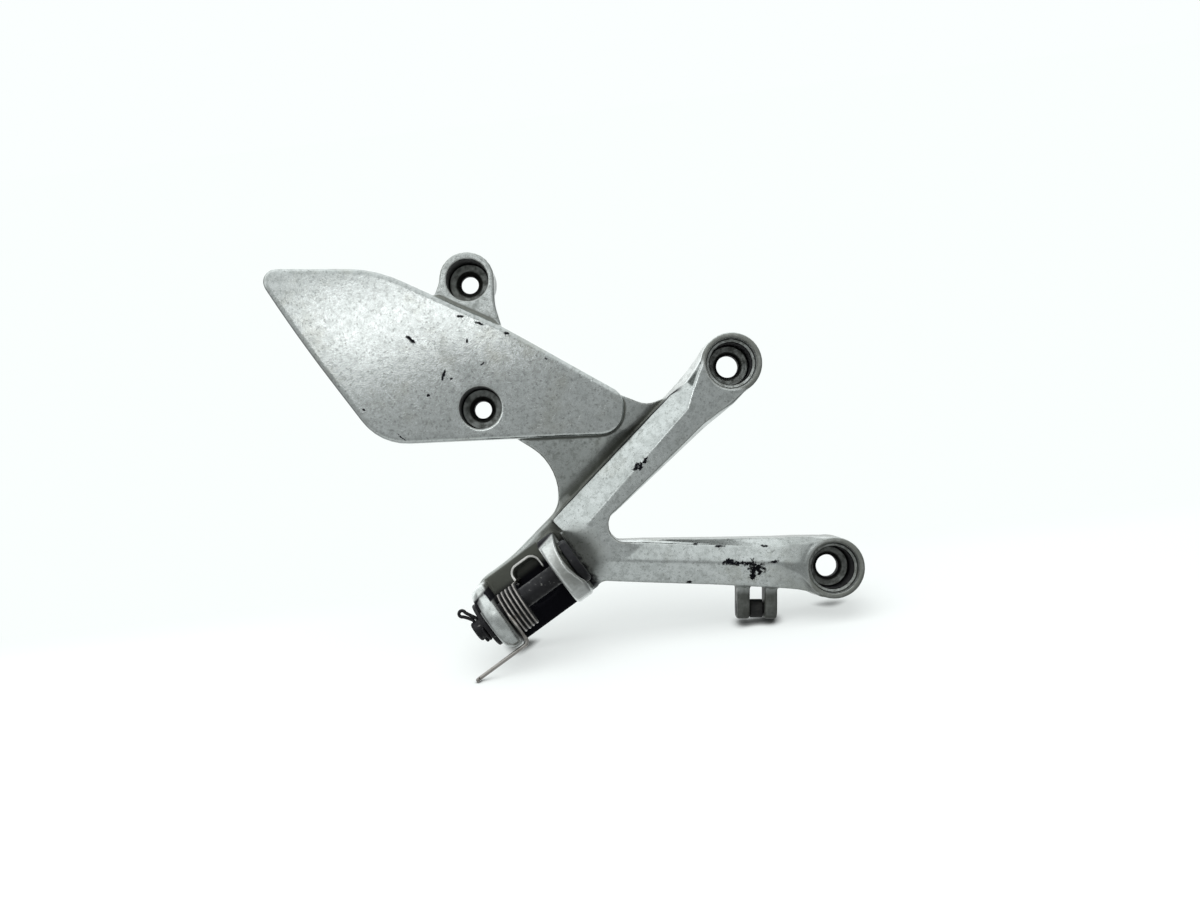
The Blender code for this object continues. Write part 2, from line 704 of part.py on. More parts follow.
def casting(finish):
    """All cast forms joined into one body, then bored and hollowed."""
    body = boss("hanger_casting", (0.0, 0.0))
    plate_back = PLATE_FRONT + PLATE_THICKNESS - 1.0
    rib_far = PLATE_FRONT + PLATE_THICKNESS + PLATE_RIM_DEPTH - RIB_SETBACK
    corners = heel_plate_corners()
    heel = (Vector(corners[0][:2]) + Vector(corners[5][:2])) / 2 + Vector((0.0, 1.0))
    plate_end = Vector(corners[1][:2]) + Vector((-6.0, 8.0))
    fork_left = LOWER_BOLT[0] - FORK_FROM_BOLT - FORK_GAP / 2
    fork_right = fork_left + FORK_GAP
    tab_front = PLATE_FRONT + TAB_SETBACK
    joined = [
        boss("lower_boss_body", LOWER_BOLT),
        upper_arm(),
        lower_arm(),
        node(),
        gusset(),
        clevis_wall(),
        lug("upper_lug_body", HALF_GAP, UPPER_OUT, LUG_EDGE, LUG_EDGE),
        lug("lower_lug_body", -HALF_GAP, -LOWER_OUT, LUG_EDGE, LUG_SHOULDER),
        web(),
        heel_plate(),
        plate_rim(),
        tab(),
        small_boss("tab_boss_body", TAB_BOLT, tab_front + 1.0),
        small_boss("plate_boss_body", PLATE_BOLT, PLATE_FRONT + 1.0),
        rib("bolt_rib_body", TAB_BOLT, PLATE_BOLT, 3.4, plate_back, rib_far),
        rib("heel_rib_body", PLATE_BOLT, heel, 3.4, plate_back, rib_far),
        rib("web_rib_body", PLATE_BOLT, plate_end, 3.4, plate_back, rib_far),
        prong("left_prong_body", fork_left - PRONG, fork_left),
        prong("right_prong_body", fork_right, fork_right + PRONG),
    ]
    for part in joined:
        combine(body, part, "UNION")
    large = [(MOUTH_DIAMETER, MOUTH_DEPTH), (SOCKET_DIAMETER, SOCKET_DEPTH)]
    large_seat = BOLT_HOLE + 2 * BOLT_CHAMFER
    pin_bore = PIN_RADIUS + GAP
    reach = LUG_GAP + 4.0
    fork_bore = FORK_PIN_DIAMETER / 2 + GAP
    z_pin = LOWER_BOLT[1] - FORK_PIN_DROP
    seat_face = UPPER_OUT - HEAD_SEAT_DEPTH
    seat_root = UPPER_OUT - HEAD_POCKET_DEPTH - 1.0
    seat_radius = HEAD_SEAT_DIAMETER / 2
    head_room = PIN_HEAD_DIAMETER / 2 + 0.5
    fork_outside = fork_left - PRONG
    fork_axis = along((1, 0, 0), (0.0, FORK_CENTRE, z_pin))
    fork_seat = FORK_HEAD_DIAMETER / 2 + GAP
    cuts = [
        bolt_cut("upper_bolt_cut", (0.0, 0.0), large, large_seat, BOLT_HOLE, -BOSS_LENGTH),
        bolt_cut("lower_bolt_cut", LOWER_BOLT, large, large_seat, BOLT_HOLE, -BOSS_LENGTH),
        bolt_cut("tab_bolt_cut", TAB_BOLT, [(SMALL_SOCKET, SMALL_SOCKET_DEPTH)], SMALL_SEAT, SMALL_HOLE, tab_front),
        bolt_cut("plate_bolt_cut", PLATE_BOLT, [(SMALL_SOCKET, SMALL_SOCKET_DEPTH)], SMALL_SEAT, SMALL_HOLE,
                 PLATE_FRONT),
        turned("pivot_bore", [(pin_bore, -reach), (pin_bore, reach)], PIVOT_FRAME, segments=32),
        anchor_pocket(),
        turned("fork_bore", [(fork_bore, fork_outside - 2.0), (fork_bore, fork_right + PRONG + 2.0)],
               fork_axis, segments=20),
        turned("fork_seat", [(fork_seat, fork_outside - 2.0), (fork_seat, fork_outside + FORK_HEAD_RECESS)],
               fork_axis, segments=24),
    ]
    combine(body, head_pocket(), "DIFFERENCE")
    head_way = [(head_room, seat_face), (head_room, UPPER_OUT + 3.6)]
    combine(body, turned("head_way", head_way, PIVOT_FRAME), "DIFFERENCE")
    head_seat = [(seat_radius, seat_root), (seat_radius, seat_face)]
    combine(body, turned("head_seat", head_seat, PIVOT_FRAME), "UNION")
    for cut in cuts + arm_pockets():
        combine(body, cut, "DIFFERENCE")
    body.data.materials.append(finish)
    smooth(body)
    return body


def pivot_pieces(parent, dark):
    """Pin, washer and split pin, all in the pivot's own frame."""
    own = Matrix.Identity(4)
    seat = UPPER_OUT - HEAD_SEAT_DEPTH + GAP
    head = PIN_HEAD_DIAMETER / 2
    washer_top = -LOWER_OUT - GAP
    washer_bottom = washer_top - WASHER_THICKNESS
    end = washer_bottom - PIN_END
    hole_at = washer_bottom - GAP - SPLIT_HOLE / 2 - 0.1
    pin = turned("pivot_pin", [
        (PIN_RADIUS - 0.6, end),
        (PIN_RADIUS, end + 0.6),
        (PIN_RADIUS, seat),
        (head, seat),
        (head, seat + PIN_HEAD_THICKNESS - 0.7),
        (head - 0.7, seat + PIN_HEAD_THICKNESS),
    ], own)
    cross = turned("split_hole", [(SPLIT_HOLE / 2, -PIN_DIAMETER), (SPLIT_HOLE / 2, PIN_DIAMETER)],
                   along((1, 0, 0), (0.0, 0.0, hole_at)), segments=20)
    combine(pin, cross, "DIFFERENCE")
    washer = turned("pin_washer", [
        (PIN_RADIUS + GAP, washer_bottom),
        (WASHER_DIAMETER / 2 - 0.3, washer_bottom),
        (WASHER_DIAMETER / 2, washer_bottom + 0.3),
        (WASHER_DIAMETER / 2, washer_top),
        (PIN_RADIUS + GAP, washer_top),
    ], own, hollow=True)
    split = split_pin(hole_at)
    for piece in (pin, washer, split, cross):
        piece.parent = parent
    for piece in (pin, washer):
        piece.data.materials.append(dark)
        smooth(piece)
    split.data.materials.append(dark)


def split_pin(hole_at):
    """Eye beside the pin, and two legs through it that bend round its sides, one each way."""
    half = SPLIT_WIRE / 2 + 0.05
    clear = PIN_RADIUS + GAP + SPLIT_WIRE / 2
    eye = Vector((-PIN_RADIUS - 5.0, 0.0, hole_at - 2.7))
    neck = Vector((-PIN_RADIUS - 0.6, 0.0, hole_at))
    aim = (neck - eye).normalized()
    side = Vector((-aim.z, 0.0, aim.x))
    legs = []
    for way in (1, -1):
        level = hole_at - way * half
        leg = bent([
            (eye + aim * (SPLIT_EYE + 1.0) - side * way * half, 0.0),
            (Vector((neck.x, 0.0, level)), 1.5),
            (Vector((clear, 0.0, level)), 0.9),
            (Vector((clear, way * 1.6, level)), 0.0),
        ])
        for i in range(1, 8):
            angle = math.radians(18 + 10.5 * i)
            leg.append(Vector((clear * math.cos(angle), way * clear * math.sin(angle), level)))
        legs.append(leg)
    path = legs[0][::-1]
    open_angle = math.asin(half / SPLIT_EYE) + math.radians(14)
    turns = 14
    for i in range(turns + 1):
        angle = open_angle + (2 * math.pi - 2 * open_angle) * i / turns
        path.append(eye + (aim * math.cos(angle) - side * math.sin(angle)) * SPLIT_EYE)
    path += legs[1]
    return wire("split_pin", path, SPLIT_WIRE)


def return_spring(parent, finish):
    """Coil hanging on the pin, a short leg in the wall's pocket and a long one under the lower lug."""
    radius = (SPRING_DIAMETER - SPRING_WIRE) / 2
    slack = radius - SPRING_WIRE / 2 - PIN_RADIUS - GAP
    lean = math.radians(50)
    centre = Vector((slack * math.cos(lean), slack * math.sin(lean), 0.0))
    first_turn = -HALF_GAP + SPRING_WIRE / 2 + 0.7
    front = -radius + centre.y
    leg_across = LUG_RADIUS + 0.5
    leg_out = first_turn - SPRING_LEG
    anchor_y = WALL_FRONT - PIVOT[1] + ANCHOR_DEPTH - 2.0
    anchor_out = -HALF_GAP + ANCHOR_FROM_LUG + GAP + SPRING_WIRE / 2
    coil = []
    per_turn = 20
    total = SPRING_TURNS * per_turn + per_turn // 4
    for i in range(total + 1):
        angle = math.radians(-90) - 2 * math.pi * i / per_turn
        out = first_turn + SPRING_PITCH * i / per_turn
        coil.append(centre + Vector((radius * math.cos(angle), radius * math.sin(angle), out)))
    top = coil[-1]
    long_leg = [
        (Vector((leg_across, front - SPRING_HOOK, leg_out)), 0.0),
        (Vector((leg_across, front, leg_out)), 1.3),
        (Vector((leg_across, front, first_turn)), 1.8),
        (coil[0] + Vector((1.0, 0.0, 0.0)), 0.0),
    ]
    short_leg = [
        (top + Vector((0.0, 1.0, 0.0)), 0.0),
        (Vector((top.x, top.y + 3.0, top.z)), 2.0),
        (Vector((top.x, anchor_y - 5.0, anchor_out)), 2.0),
        (Vector((top.x, anchor_y, anchor_out)), 0.0),
    ]
    made = wire("return_spring", bent(long_leg) + coil + bent(short_leg), SPRING_WIRE)
    made.parent = parent
    made.data.materials.append(finish)


def fork_pieces(dark, rubber):
    """Cross pin with its head on the left prong, and the bush between the prongs."""
    middle = LOWER_BOLT[0] - FORK_FROM_BOLT
    outside = FORK_GAP / 2 + PRONG
    frame = along((1, 0, 0), (middle, FORK_CENTRE, LOWER_BOLT[1] - FORK_PIN_DROP))
    radius = FORK_PIN_DIAMETER / 2
    head = FORK_HEAD_DIAMETER / 2
    seat = -outside + FORK_HEAD_RECESS - GAP
    pin = turned("fork_pin", [
        (head - 0.3, seat - FORK_HEAD_THICKNESS),
        (head, seat - FORK_HEAD_THICKNESS + 0.3),
        (head, seat),
        (radius, seat),
        (radius, outside - 0.2),
        (radius - 0.3, outside + 0.1),
    ], frame, segments=24)
    half = FORK_GAP / 2 - GAP
    bush = turned("fork_bush", [
        (radius + GAP, -half),
        (BUSH_DIAMETER / 2 - 0.4, -half),
        (BUSH_DIAMETER / 2, -half + 0.4),
        (BUSH_DIAMETER / 2, half - 0.4),
        (BUSH_DIAMETER / 2 - 0.4, half),
        (radius + GAP, half),
    ], frame, segments=24, hollow=True)
    for piece, finish in ((pin, dark), (bush, rubber)):
        piece.data.materials.append(finish)
        smooth(piece)


def main():
    clear_scene()
    aluminium = material("cast_aluminium", (0.42, 0.43, 0.43), 0.45, 1.0)
    dark = material("pin_steel", (0.05, 0.05, 0.05), 0.5, 0.9)
    bright = material("spring_steel", (0.55, 0.53, 0.50), 0.3, 1.0)
    rubber = material("black_rubber", (0.02, 0.02, 0.02), 0.7, 0.0)
    casting(aluminium)
    pivot = bpy.data.objects.new("pivot_axis", None)
    bpy.context.scene.collection.objects.link(pivot)
    place = PIVOT_FRAME.copy()
    place.translation = Vector(PIVOT) * MM
    pivot.matrix_world = place
    pivot_pieces(pivot, dark)
    return_spring(pivot, bright)
    fork_pieces(dark, rubber)


main()
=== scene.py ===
# Looks of a worn die-cast motorcycle footrest hanger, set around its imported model.
# Lengths are in metres in the model's own frame: X right, Y towards the motorcycle, Z up.
# Materials work in millimetres, on coordinates multiplied by 1000.

import math

import bpy
import numpy as np
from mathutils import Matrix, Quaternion, Vector
from mathutils.kdtree import KDTree


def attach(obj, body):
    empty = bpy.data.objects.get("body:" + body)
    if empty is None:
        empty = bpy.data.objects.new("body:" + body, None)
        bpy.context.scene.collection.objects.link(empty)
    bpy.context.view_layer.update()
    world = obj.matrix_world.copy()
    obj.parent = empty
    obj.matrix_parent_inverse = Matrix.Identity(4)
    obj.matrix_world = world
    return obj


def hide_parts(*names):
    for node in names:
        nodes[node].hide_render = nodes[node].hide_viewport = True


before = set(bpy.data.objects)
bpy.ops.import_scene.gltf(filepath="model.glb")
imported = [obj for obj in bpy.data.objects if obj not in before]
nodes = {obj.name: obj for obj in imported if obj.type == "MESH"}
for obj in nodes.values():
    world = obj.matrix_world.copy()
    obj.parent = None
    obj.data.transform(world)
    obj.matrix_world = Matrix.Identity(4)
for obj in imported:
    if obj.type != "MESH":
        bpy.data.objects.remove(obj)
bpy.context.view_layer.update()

MM = 0.001


def colour(red, green, blue):
    return (red, green, blue, 1.0)


# Camera, placed where the photograph was taken from
CAMERA_PLACE = (-0.0565, -0.666, -0.04705)
CAMERA_LENS = 49.87
CAMERA_SHIFT = (0.0125, 0.0292)
FLOOR_HEIGHT = -0.0987
FLOOR_RISE_BACK = 0.277
FLOOR_RISE_RIGHT = 0.12

# Places on the casting, in millimetres
UPPER_BOLT = (0.0, 0.0)
LOWER_BOLT = (39.6, -79.0)
TAB_BOLT = (-102.3, 32.6)
PLATE_BOLT = (-96.9, -17.2)
PIVOT = (-77.3, -33.0, -88.2)
PIVOT_AXIS = (0.80696, 0.0, 0.590606)
PIVOT_ACROSS = (0.590606, 0.0, -0.80696)
UPPER_ARM_ROOT = (-58.6, 0.0, -64.8)
UPPER_ARM_SIDE = (-0.742, 0.0, 0.6704)
SCOOP_MIDDLE = (-60.0, -26.0, -75.0)
SCOOP_REACH = 14.5
SCOOP_RIM = 3.0
SCOOP_OUT = 25.0
SPRING_MIDDLE = (-76.1, -30.55, -89.85)
SPRING_REACH = 9.1
BORE_RADIUS = 9.4
SMALL_BORE_RADIUS = 8.0
BORES = [
    (UPPER_BOLT, BORE_RADIUS, 0.5),
    (LOWER_BOLT, BORE_RADIUS, 0.5),
    (TAB_BOLT, SMALL_BORE_RADIUS, 0.4),
    (PLATE_BOLT, SMALL_BORE_RADIUS, 0.4),
]
CLEVIS_OUT = (-12.9, 12.5)
CLEVIS_ACROSS = (-14.4, 30.0)
CLEVIS_FRONT = -48.0
FRONT_OF_NODE = -20.0
LUG_FRONT = -31.0
LUG_INNER_FACE = 20.2
FORK_SIDES = (-2.0, 20.0)
FORK_TOP = -86.2
ARM_SIDE = (7.0, 12.0)
RIM_MIDDLE = 3.0
RIM_TOP = -8.2
RIM_HALF_WIDTH = 2.6
RIM_RADIUS = 3.4

# Skin of the casting
VOXEL = 0.42 * MM
INNER_FILLET = 1.5 * MM
OUTER_FILLET = 0.55 * MM
SKIN_TRIANGLES = 190000
FIRST_ROUNDS = 3
FILLET_ROUNDS = 2.2
SPARE_ROUNDS = 12
SCOOP_ROUNDS = 90
RELIEF_ROUNDS = 24

# Rounding of the small pieces
WELD_REACH = 0.01 * MM
STEEL_VOXEL = 0.22 * MM
BUSH_VOXEL = 0.2 * MM
EASING_ROUNDS = 4
WIRE_SWELL = 0.05 * MM

# Colours of the casting, from bare metal to black grease, some of them standing for painted shade and
# painted highlights
METAL_DARK = colour(0.56, 0.595, 0.585)
METAL_LIGHT = colour(0.66, 0.695, 0.69)
METAL_SMUDGED = colour(0.31, 0.33, 0.32)
METAL_WARM = colour(0.45, 0.45, 0.38)
# Painted shade on the web and the back, behind the front faces
METAL_SHADE_BEHIND = colour(0.3, 0.32, 0.3)
# Painted shade on the lower arm's facets by the lower boss
BOSS_SHADE = colour(0.24, 0.255, 0.245)
# Painted highlight, with polish, on the upper lug
LUG_POLISH_AND_HIGHLIGHT = colour(0.9, 0.93, 0.92)
# Painted shade on the lugs' lower part
LUG_SHADE = colour(0.3, 0.32, 0.31)
PIT_DARK = colour(0.17, 0.18, 0.17)
SPECKLE_DARK = colour(0.12, 0.125, 0.115)
GRAIN_BRIGHT = colour(0.86, 0.88, 0.87)
SCRATCH_BRIGHT = colour(0.8, 0.82, 0.8)
EDGE_BRIGHT = colour(0.78, 0.8, 0.78)
# Painted highlight along the pocket's rim in the clevis wall
RIM_HIGHLIGHT = colour(0.9, 0.9, 0.87)
# Grime, and painted shade in hollows, recesses, the clevis and the bolt holes and along lower edges
GRIME_AND_SHADE = colour(0.075, 0.08, 0.066)
# Black grease, and painted shade and shadow in the clevis's trough, the bolt holes, beside the arm and at
# the pin head's seat
BLACK_GREASE_AND_SHADE = colour(0.004, 0.004, 0.006)

# Table and its shadow, with a painted contact shadow
FLOOR_HALF = 4.0
FLOOR_FADE = (35.0, 75.0)
CONTACT_REACH = 5.0
CONTACT_SHARE = 0.62
WHITE = colour(0.96, 1.0, 0.99)


# Meshes

def mesh_arrays(mesh):
    """Vertex places and edges of a mesh as arrays."""
    places = np.empty(len(mesh.vertices) * 3)
    mesh.vertices.foreach_get("co", places)
    edges = np.empty(len(mesh.edges) * 2, np.int64)
    mesh.edges.foreach_get("vertices", edges)
    return places.reshape(-1, 3), edges.reshape(-1, 2)


def normals_of(mesh, places):
    """Vertex normals after the mesh takes these places."""
    mesh.vertices.foreach_set("co", places.ravel())
    mesh.update()
    normals = np.empty(len(places) * 3)
    mesh.vertices.foreach_get("normal", normals)
    return normals.reshape(-1, 3)


class Neighbours:
    """Mean of each vertex's neighbours, along the mesh's edges."""

    def __init__(self, edges, count):
        self.starts = np.concatenate([edges[:, 0], edges[:, 1]])
        self.ends = np.concatenate([edges[:, 1], edges[:, 0]])
        self.count = count
        self.degree = np.bincount(self.starts, minlength=count)[:, None]

    def pull(self, places):
        """From each vertex to the mean of its neighbours."""
        total = np.empty_like(places)
        for axis in range(places.shape[1]):
            total[:, axis] = np.bincount(self.starts, weights=places[self.ends, axis], minlength=self.count)
        return total / self.degree - places


def evaluated(item):
    """New mesh with the item's modifiers applied."""
    graph = bpy.context.evaluated_depsgraph_get()
    return bpy.data.meshes.new_from_object(item.evaluated_get(graph))


def modifier(item, kind, **settings):
    step = item.modifiers.new(kind.lower(), kind)
    for key, value in settings.items():
        setattr(step, key, value)
    return step


def voxel_copy(node, name, voxel):
    """Copy of a node as one even mesh of small faces."""
    copy = bpy.data.objects.new(name, node.data.copy())
    bpy.context.scene.collection.objects.link(copy)
    modifier(copy, "WELD", merge_threshold=WELD_REACH)
    modifier(copy, "REMESH", mode="VOXEL", voxel_size=voxel)
    mesh = evaluated(copy)
    copy.modifiers.clear()
    copy.data = mesh
    return copy


def ease_corners(places, mesh, around, voxel, inner, outer, rounds):
    """Fills inner corners and wears outer ones until they reach their fillet radius."""
    least_inner = voxel ** 2 / (4 * inner)
    least_outer = voxel ** 2 / (4 * outer)
    for turn in range(rounds):
        if turn % 4 == 0:
            normals = normals_of(mesh, places)
        bend = np.einsum("ij,ij->i", around.pull(places), normals)
        step = np.maximum(bend - least_inner, 0) - np.maximum(-bend - least_outer, 0)
        places = places + normals * (0.7 * step)[:, None]
    return places


def soften(places, edges, weight, rounds):
    """Smooths a small region, the more the greater the weight of its vertices."""
    inside = np.nonzero(weight > 0)[0]
    number = np.full(len(places), -1)
    number[inside] = np.arange(len(inside))
    local = number[edges]
    around = Neighbours(local[(local >= 0).all(axis=1)], len(inside))
    share = weight[inside][:, None] * (around.degree > 2)
    around.degree = np.maximum(around.degree, 1)
    for _ in range(rounds):
        places[inside] += share * around.pull(places[inside])


def scoop_weight(places):
    """Weight around the shallow scoop that lets the pin's head pass, falling to zero past its rim."""
    apart = places / MM - SCOOP_MIDDLE
    out = (places / MM - PIVOT) @ np.array(PIVOT_AXIS)
    reach = np.hypot(apart[:, 0], apart[:, 2])
    inside = np.clip((SCOOP_REACH - reach) / SCOOP_RIM, 0, 1)
    past_lug = np.clip((out - SCOOP_OUT) / SCOOP_RIM, 0, 1)
    return 0.5 * inside * past_lug * (places[:, 1] < FRONT_OF_NODE * MM)


def relief_of(places, mesh, around, rounds):
    """How deep each vertex lies in a hollow, in millimetres, or below zero how far it stands out."""
    normals = normals_of(mesh, places)
    eased = places.copy()
    for _ in range(rounds):
        eased += 0.6 * around.pull(eased)
    return np.einsum("ij,ij->i", eased - places, normals) / MM


def cast_skin(node, name, voxel, inner, outer, triangles):
    """Skin of a casting: its solid with cast fillets, and its relief kept for the dirt, the wear and the
    painted shade.
    """
    skin = voxel_copy(node, name, voxel)
    mesh = skin.data
    places, edges = mesh_arrays(mesh)
    around = Neighbours(edges, len(places))
    for _ in range(FIRST_ROUNDS):
        places += 0.5 * around.pull(places)
    rounds = int(FILLET_ROUNDS * (inner / voxel) ** 2) + SPARE_ROUNDS
    places = ease_corners(places, mesh, around, voxel, inner, outer, rounds)
    coarse = (VOXEL / voxel) ** 2
    soften(places, edges, scoop_weight(places), int(SCOOP_ROUNDS * coarse))
    relief = relief_of(places, mesh, around, int(RELIEF_ROUNDS * coarse))
    normals_of(mesh, places)
    tree = KDTree(len(places))
    for i, place in enumerate(places):
        tree.insert(place, i)
    tree.balance()
    total = sum(len(face.vertices) - 2 for face in mesh.polygons)
    modifier(skin, "DECIMATE", ratio=min(1.0, triangles / total), use_collapse_triangulate=True)
    skin.data = evaluated(skin)
    skin.modifiers.clear()
    kept, _ = mesh_arrays(skin.data)
    nearest = [tree.find(place)[1] for place in kept]
    layer = skin.data.attributes.new("relief", "FLOAT", "POINT")
    layer.data.foreach_set("value", relief[nearest].astype(np.float32))
    skin.data.shade_smooth()
    return skin


# Materials

class Graph:
    """Adds shader nodes to a material and joins them."""

    def __init__(self, name, owner=None):
        self.material = owner or bpy.data.materials.new(name)
        self.material.use_nodes = True
        self.tree = self.material.node_tree
        self.tree.nodes.clear()

    def add(self, kind, output=0, inputs=None, **settings):
        node = self.tree.nodes.new("ShaderNode" + kind)
        for key, value in settings.items():
            setattr(node, key, value)
        for key, value in (inputs or {}).items():
            socket = node.inputs[key]
            if isinstance(value, bpy.types.NodeSocket):
                self.tree.links.new(value, socket)
            else:
                socket.default_value = value
        return node.outputs[output]

    def math(self, operation, *values):
        return self.add("Math", 0, dict(enumerate(values)), operation=operation)

    def plus(self, first, second):
        return self.math("ADD", first, second)

    def less(self, first, second):
        return self.math("SUBTRACT", first, second)

    def times(self, first, *others):
        for other in others:
            first = self.math("MULTIPLY", first, other)
        return first

    def without(self, value, mask, share=1.0):
        """The value, lowered by the share where the mask is one."""
        return self.times(value, self.less(1.0, self.times(mask, share)))

    def vector(self, operation, *values):
        output = 1 if operation in ("LENGTH", "DOT_PRODUCT", "DISTANCE") else 0
        return self.add("VectorMath", output, dict(enumerate(values)), operation=operation)

    def span(self, value, low, high, start=0.0, end=1.0):
        """Smooth step from start to end as the value goes from low to high."""
        inputs = {0: value, 1: low, 2: high, 3: start, 4: end}
        return self.add("MapRange", 0, inputs, interpolation_type="SMOOTHSTEP")

    def between(self, value, low, high, soft):
        """One inside the span from low to high, falling to zero over the soft width."""
        rise = self.span(value, low - soft, low + soft)
        return self.times(rise, self.span(value, high + soft, high - soft))

    def noise(self, place, size, detail=3.0, roughness=0.55):
        """Noise with features of a given size in millimetres."""
        inputs = {"Vector": place, "Scale": 1.0 / size, "Detail": detail, "Roughness": roughness}
        return self.add("TexNoise", 0, inputs)

    def blend(self, share, first, second):
        """Colour that goes from the first to the second."""
        inputs = {0: share, 6: first, 7: second}
        return self.add("Mix", 2, inputs, data_type="RGBA")

    def lerp(self, share, first, second):
        return self.add("Mix", 0, {0: share, 2: first, 3: second}, data_type="FLOAT")

    def along(self, vector, direction):
        """How far a vector goes along a direction."""
        return self.vector("DOT_PRODUCT", vector, direction)

    def place(self):
        """Object coordinates in millimetres."""
        found = self.add("TexCoord", 3)
        return self.add("VectorMath", 0, {0: found, 3: 1 / MM}, operation="SCALE")

    def most(self, values):
        result = values[0]
        for value in values[1:]:
            result = self.math("MAXIMUM", result, value)
        return result

    def finish(self, bump=None, strength=0.4, distance=0.1, **inputs):
        """Principled surface, with an optional bump whose height is in millimetres."""
        if bump is not None:
            wired = {"Strength": strength, "Distance": distance * MM, "Height": bump}
            inputs["Normal"] = self.add("Bump", 0, wired)
        named = {key.replace("_", " "): value for key, value in inputs.items()}
        surface = self.add("BsdfPrincipled", 0, named)
        self.add_output(surface)
        return self.material

    def add_output(self, surface):
        out = self.tree.nodes.new("ShaderNodeOutputMaterial")
        self.tree.links.new(surface, out.inputs["Surface"])


def near_axis(graph, place, bolt):
    """Distance from a bolt's axis, in millimetres."""
    apart = graph.vector("SUBTRACT", place, (bolt[0], 0.0, bolt[1]))
    return front_length(graph, apart)


def front_length(graph, vector):
    """Length of a vector as seen from the front."""
    return graph.vector("LENGTH", graph.vector("MULTIPLY", vector, (1.0, 0.0, 1.0)))


def hypotenuse(graph, first, second):
    squares = graph.plus(graph.math("POWER", first, 2.0), graph.math("POWER", second, 2.0))
    return graph.math("SQRT", squares)


# Chips and stains on the front: x, z, length, width and angle in degrees
MARKS = [
    (-123.7, 9.0, 4.4, 1.3, -45.0),
    (-111.3, -4.8, 4.2, 1.0, 72.0),
    (-108.0, -6.0, 1.2, 0.8, 20.0),
    (-96.1, -0.2, 2.2, 0.6, 45.0),
    (-117.1, -12.3, 1.2, 1.0, 0.0),
    (-104.7, 18.1, 3.0, 0.9, -12.0),
    (-97.4, 15.5, 4.0, 0.9, -18.0),
    (-86.8, 11.6, 1.4, 1.1, 0.0),
    (-102.0, 8.6, 1.8, 0.7, 80.0),
    (-71.4, 1.7, 1.3, 0.9, -20.0),
    (-141.9, -18.0, 1.2, 0.8, -40.0),
    (-127.6, -28.6, 3.6, 0.6, -35.0),
    (-35.8, -39.8, 4.4, 2.4, 40.0),
    (-33.6, -38.0, 2.6, 1.4, 60.0),
    (9.4, -79.0, 6.4, 4.6, -20.0),
    (8.6, -82.0, 2.6, 3.0, 0.0),
    (3.6, -77.2, 12.0, 1.5, 0.0),
    (-1.6, -76.6, 3.4, 1.8, 10.0),
    (16.2, -76.6, 4.0, 1.0, 15.0),
    (-16.0, -84.6, 1.6, 1.0, 0.0),
    (-20.2, -86.0, 1.2, 0.9, 0.0),
    (12.6, -70.6, 2.6, 0.8, 0.0),
    (-13.9, -69.9, 2.4, 0.8, 0.0),
    (-4.3, -70.6, 3.4, 0.8, 0.0),
]


def marks_mask(graph, place, marks):
    """Ragged dark marks, laid over the model from the front."""
    wobble = graph.noise(place, 1.5, detail=5.0, roughness=0.8)
    ragged = graph.times(graph.less(wobble, 0.5), 5.5)
    found = []
    for x, z, length, width, angle in marks:
        lean = math.radians(angle)
        apart = graph.vector("SUBTRACT", place, (x, 0.0, z))
        lengthwise = graph.along(apart, (math.cos(lean), 0.0, math.sin(lean)))
        sideways = graph.along(apart, (-math.sin(lean), 0.0, math.cos(lean)))
        reach_lengthwise = graph.math("DIVIDE", lengthwise, length / 2)
        reach_sideways = graph.math("DIVIDE", sideways, width / 2)
        reach = graph.plus(hypotenuse(graph, reach_lengthwise, reach_sideways), ragged)
        found.append(graph.span(reach, 1.15, 0.85))
    return graph.most(found)


def scratches(graph, place, angle, length, width):
    """Fine straight strokes in one direction of the front, from a stretched noise."""
    lean = math.radians(angle)
    lengthwise = graph.along(place, (math.cos(lean) / length, 0.0, math.sin(lean) / length))
    sideways = graph.along(place, (-math.sin(lean) / width, 0.0, math.cos(lean) / width))
    spot = graph.add("CombineXYZ", 0, {0: lengthwise, 1: sideways, 2: angle})
    return graph.span(graph.noise(spot, 1.0, detail=1.0), 0.69, 0.76)


